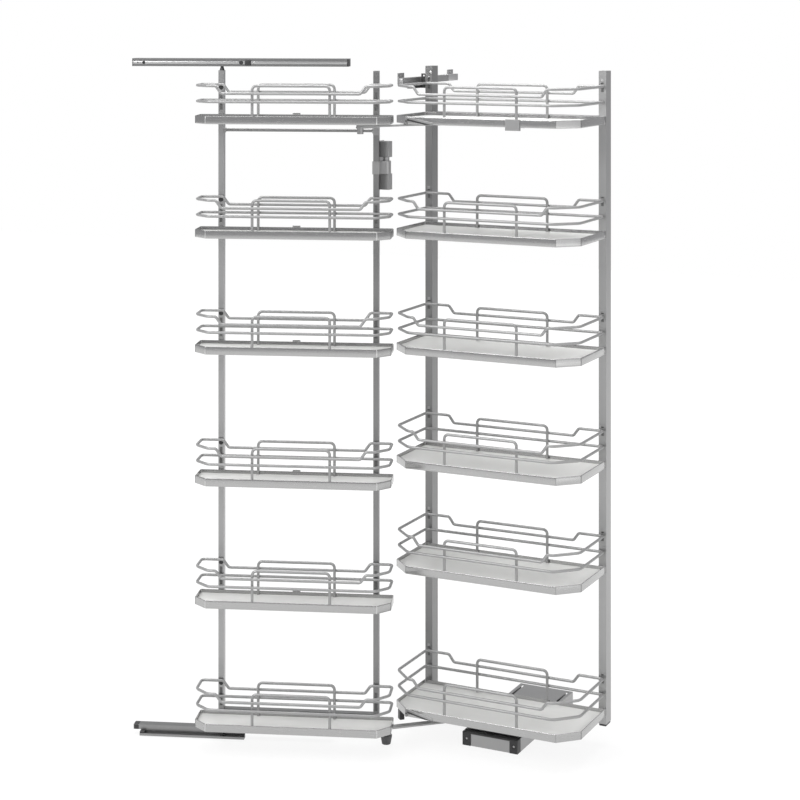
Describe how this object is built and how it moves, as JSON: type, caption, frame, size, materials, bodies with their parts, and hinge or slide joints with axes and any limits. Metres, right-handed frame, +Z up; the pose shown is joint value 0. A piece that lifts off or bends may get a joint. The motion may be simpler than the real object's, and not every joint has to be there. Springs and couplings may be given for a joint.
{
  "type": "pull out larder unit",
  "caption": "Tandem pull-out larder frame with shallow swinging front trays and deep sliding inner trays for a tall hinged-door cabinet.",
  "frame": {"origin": "the front unit's vertical pivot axis at the cabinet floor, on the underside of the base runner's level", "axes": "+X across the cabinet from the hinge side, +Y into the cabinet, +Z up; stored fully pulled out, with the front unit swung 160 degrees open"},
  "size_m": [1.1233, 0.733, 1.728],
  "materials": {
    "bright_metal": "polished plating on rims and wires",
    "post_metal": "satin silver grey",
    "frame_metal": "satin silver grey",
    "board": "pale melamine-faced board",
    "dark_plastic": "fine grained"
  },
  "bodies": {
    "cabinet_fittings": {"base_runner": "frame_metal", "runner_end_caps": "dark_plastic", "top_guide_rail": "frame_metal", "hinge_bracket": "frame_metal", "pivot_foot": "dark_plastic"},
    "inner_unit": {"inner_post_left": "post_metal", "inner_post_right": "post_metal", "inner_cross_tubes": "post_metal", "runner_carriage": "frame_metal", "top_guide_shoe": "dark_plastic", "upper_link_bracket": "frame_metal", "rim_brackets": "frame_metal", "inner_rim_1": "bright_metal", "inner_board_1": "board", "inner_railing_1": "bright_metal", "inner_rim_2": "bright_metal", "inner_board_2": "board", "inner_railing_2": "bright_metal", "inner_rim_3": "bright_metal", "inner_board_3": "board", "inner_railing_3": "bright_metal", "inner_rim_4": "bright_metal", "inner_board_4": "board", "inner_railing_4": "bright_metal", "inner_rim_5": "bright_metal", "inner_board_5": "board", "inner_railing_5": "bright_metal", "inner_rim_6": "bright_metal", "inner_board_6": "board", "inner_railing_6": "bright_metal"},
    "front_unit": {"hinge_post": "post_metal", "outer_post": "post_metal", "front_cross_members": "post_metal", "pivot_arm": "frame_metal", "crank_arm": "frame_metal", "hinge_knuckle": "frame_metal", "door_rail_rollers": "dark_plastic", "front_rim_1": "bright_metal", "front_board_1": "board", "front_railing_1": "bright_metal", "front_rim_2": "bright_metal", "front_board_2": "board", "front_railing_2": "bright_metal", "front_rim_3": "bright_metal", "front_board_3": "board", "front_railing_3": "bright_metal", "front_rim_4": "bright_metal", "front_board_4": "board", "front_railing_4": "bright_metal", "front_rim_5": "bright_metal", "front_board_5": "board", "front_railing_5": "bright_metal", "front_rim_6": "bright_metal", "front_board_6": "board", "front_railing_6": "bright_metal"},
    "lower_link_bar": {"lower_link": "frame_metal"},
    "upper_link_bar": {"upper_link": "frame_metal"},
    "door_rails": {"upper_door_rail": "frame_metal", "lower_door_rail": "frame_metal", "door_rail_buffers": "dark_plastic"}
  },
  "joints": [
    {"name": "front_swing", "type": "hinge", "parent": "cabinet_fittings", "child": "front_unit", "pos_m": [0, 0, 0], "axis": [0, 0, 1], "range_deg": [0, 160]},
    {"name": "inner_slide", "type": "slide", "parent": "cabinet_fittings", "child": "inner_unit", "axis": [0, 1, 0], "range_m": [0, 0.193]},
    {"name": "door_rail_slide", "type": "slide", "parent": "front_unit", "child": "door_rails", "axis": [0.9397, 0.342, 0], "range_m": [0, 0.1145]},
    {"name": "lower_link_pivot", "type": "hinge", "parent": "front_unit", "child": "lower_link_bar", "pos_m": [-0.03996, -0.06563, 0.048], "axis": [0, 0, 1], "range_deg": [-142, 0]},
    {"name": "upper_link_pivot", "type": "hinge", "parent": "front_unit", "child": "upper_link_bar", "pos_m": [-0.03996, -0.06563, 1.561], "axis": [0, 0, 1], "range_deg": [-142, 0]}
  ],
  "couplings": [
    {"joint": "inner_slide", "follows": "front_swing", "m_per_rad": 0.06893},
    {"joint": "door_rail_slide", "follows": "front_swing", "m_per_rad": 0.0408},
    {"joint": "lower_link_pivot", "follows": "front_swing", "ratio": -0.8866},
    {"joint": "upper_link_pivot", "follows": "front_swing", "ratio": -0.8866}
  ]
}
